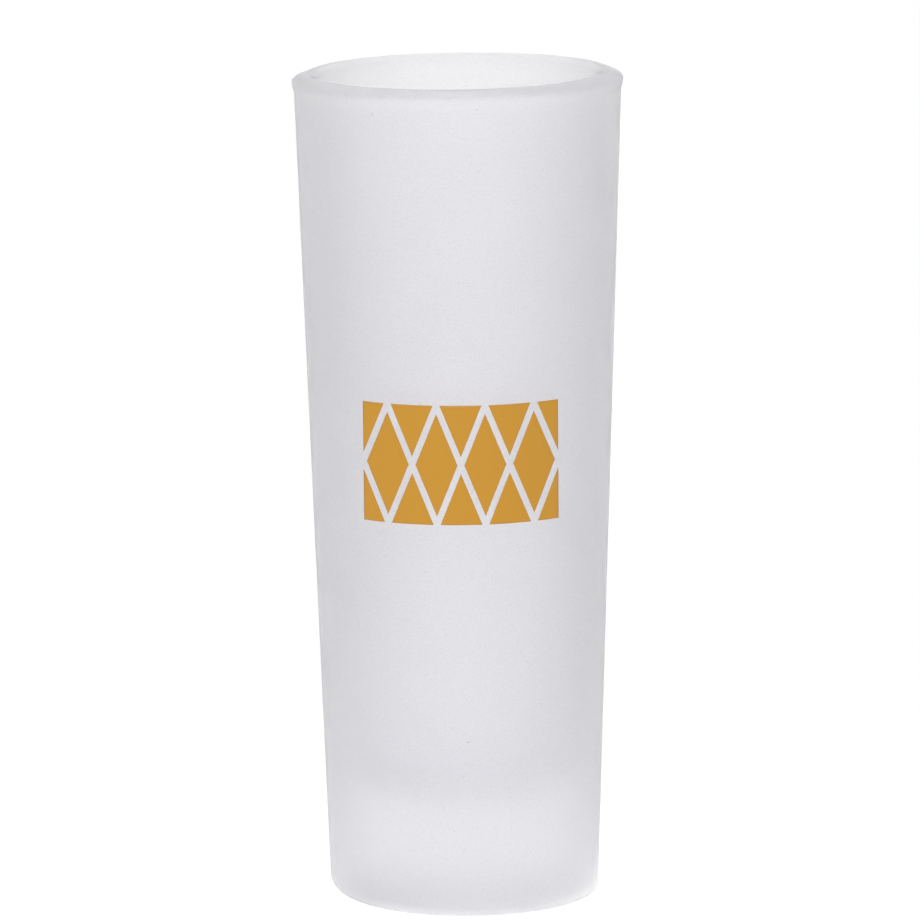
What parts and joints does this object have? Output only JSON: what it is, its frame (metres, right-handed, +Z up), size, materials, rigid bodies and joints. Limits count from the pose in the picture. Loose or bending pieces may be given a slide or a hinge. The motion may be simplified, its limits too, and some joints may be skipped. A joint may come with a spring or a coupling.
{
  "type": "shot glass",
  "caption": "Tall straight-tapered frosted shooter glass with a heavy base and a one-colour printed harlequin frieze.",
  "frame": {"origin": "middle of the foot, on the surface that the glass stands on", "axes": "+Z up the glass's axis, -Y out of the printed front, +X to the right of someone facing the print"},
  "size_m": [0.0416, 0.0416, 0.105],
  "materials": {
    "frosted_glass": "satin-etched, translucent",
    "ochre_ink": "screen-printed enamel ink, satin"
  },
  "bodies": {
    "root": {"glass_tumbler": "frosted_glass", "print_lozenge_1": "ochre_ink", "print_lozenge_2": "ochre_ink", "print_lozenge_3": "ochre_ink", "print_lozenge_4": "ochre_ink", "print_bottom_triangle_1": "ochre_ink", "print_bottom_triangle_2": "ochre_ink", "print_bottom_triangle_3": "ochre_ink", "print_top_triangle_1": "ochre_ink", "print_top_triangle_2": "ochre_ink", "print_top_triangle_3": "ochre_ink", "print_bottom_corner_left": "ochre_ink", "print_bottom_corner_right": "ochre_ink", "print_top_corner_left": "ochre_ink", "print_top_corner_right": "ochre_ink"}
  },
  "joints": []
}
